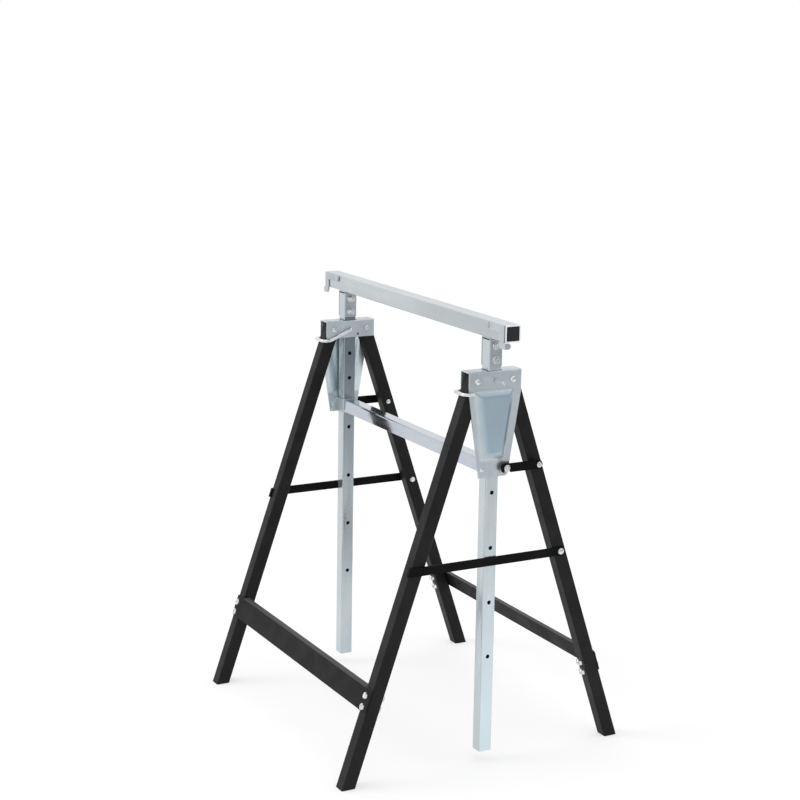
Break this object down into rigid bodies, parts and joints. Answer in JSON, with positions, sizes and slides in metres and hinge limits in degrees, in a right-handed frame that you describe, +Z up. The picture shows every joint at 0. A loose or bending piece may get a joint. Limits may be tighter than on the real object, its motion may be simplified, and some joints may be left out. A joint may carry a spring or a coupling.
{
  "type": "builders trestle",
  "caption": "Folding steel trestle: square top bar on pinned telescopic posts, pressed heads, splayed tube legs with lower rails, spreader straps, hook links and swinging end stops.",
  "frame": {"origin": "on the floor under the middle of the top bar, between the four feet", "axes": "+X along the top bar, +Y towards the rear legs that carry the straps and links, +Z up"},
  "size_m": [0.706, 0.57, 0.803],
  "materials": {
    "zinc_sheet": "zinc plated sheet",
    "zinc_tube": "zinc plated tube",
    "bright_hardware": "bright zinc",
    "black_coat": "satin black powder coat",
    "black_plastic": "matt"
  },
  "bodies": {
    "base": {"left_head": "zinc_sheet", "right_head": "zinc_sheet", "left_guide": "zinc_sheet", "right_guide": "zinc_sheet", "cross_rail": "zinc_sheet", "guide_rivets": "bright_hardware", "link_studs": "bright_hardware", "leg_pivot_bolts": "bright_hardware"},
    "upper_frame": {"top_bar": "zinc_tube", "bar_end_caps": "black_plastic", "left_bracket": "zinc_sheet", "right_bracket": "zinc_sheet", "left_post": "zinc_tube", "right_post": "zinc_tube", "bracket_bolts": "bright_hardware", "stop_rivets": "bright_hardware"},
    "left_stop": {"left_stop": "zinc_sheet"},
    "right_stop": {"right_stop": "zinc_sheet"},
    "front_legs": {"left_front_leg": "black_coat", "right_front_leg": "black_coat", "front_rail": "black_coat", "front_rail_bolts": "bright_hardware", "front_foot_plugs": "black_plastic"},
    "rear_legs": {"left_rear_leg": "black_coat", "right_rear_leg": "black_coat", "rear_rail": "black_coat", "rear_rail_bolts": "bright_hardware", "rear_foot_plugs": "black_plastic", "strap_bolts": "bright_hardware", "link_bolts": "bright_hardware"},
    "left_strap": {"left_strap": "black_coat"},
    "right_strap": {"right_strap": "black_coat"},
    "left_link": {"left_link": "black_coat"},
    "right_link": {"right_link": "black_coat"},
    "left_pin": {"left_lock_pin": "bright_hardware"},
    "right_pin": {"right_lock_pin": "bright_hardware"}
  },
  "joints": [
    {"name": "frame_slide", "type": "slide", "parent": "base", "child": "upper_frame", "axis": [0, 0, 1], "range_m": [0, 0.5]},
    {"name": "rear_fold", "type": "hinge", "parent": "base", "child": "rear_legs", "pos_m": [0, 0.0355, 0.698], "axis": [-1, 0, 0], "range_deg": [0, 15]},
    {"name": "front_fold", "type": "hinge", "parent": "base", "child": "front_legs", "pos_m": [0, -0.0355, 0.698], "axis": [1, 0, 0], "range_deg": [0, 15]},
    {"name": "left_strap_swing", "type": "hinge", "parent": "rear_legs", "child": "left_strap", "pos_m": [-0.281, 0.14519, 0.374], "axis": [1, 0, 0], "range_deg": [0, 67.5]},
    {"name": "right_strap_swing", "type": "hinge", "parent": "rear_legs", "child": "right_strap", "pos_m": [0.281, 0.14519, 0.374], "axis": [1, 0, 0], "range_deg": [0, 67.5]},
    {"name": "left_link_swing", "type": "hinge", "parent": "rear_legs", "child": "left_link", "pos_m": [-0.281, 0.08831, 0.542], "axis": [-1, 0, 0], "range_deg": [0, 120]},
    {"name": "right_link_swing", "type": "hinge", "parent": "rear_legs", "child": "right_link", "pos_m": [0.281, 0.08831, 0.542], "axis": [-1, 0, 0], "range_deg": [0, 120]},
    {"name": "left_stop_swing", "type": "hinge", "parent": "upper_frame", "child": "left_stop", "pos_m": [-0.294, -0.016, 0.796], "axis": [0, 1, 0], "range_deg": [0, 180]},
    {"name": "right_stop_swing", "type": "hinge", "parent": "upper_frame", "child": "right_stop", "pos_m": [0.294, -0.016, 0.796], "axis": [0, -1, 0], "range_deg": [0, 180]},
    {"name": "left_pin_pull", "type": "slide", "parent": "base", "child": "left_pin", "axis": [1, 0, 0], "range_m": [0, 0.08], "deforming": ["left_lock_pin"]},
    {"name": "right_pin_pull", "type": "slide", "parent": "base", "child": "right_pin", "axis": [-1, 0, 0], "range_m": [0, 0.08], "deforming": ["right_lock_pin"]}
  ],
  "couplings": [
    {"joint": "front_fold", "follows": "rear_fold", "ratio": 1},
    {"joint": "left_strap_swing", "follows": "rear_fold", "ratio": 4.5},
    {"joint": "right_strap_swing", "follows": "rear_fold", "ratio": 4.5},
    {"joint": "left_link_swing", "follows": "rear_fold", "ratio": 8},
    {"joint": "right_link_swing", "follows": "rear_fold", "ratio": 8}
  ]
}
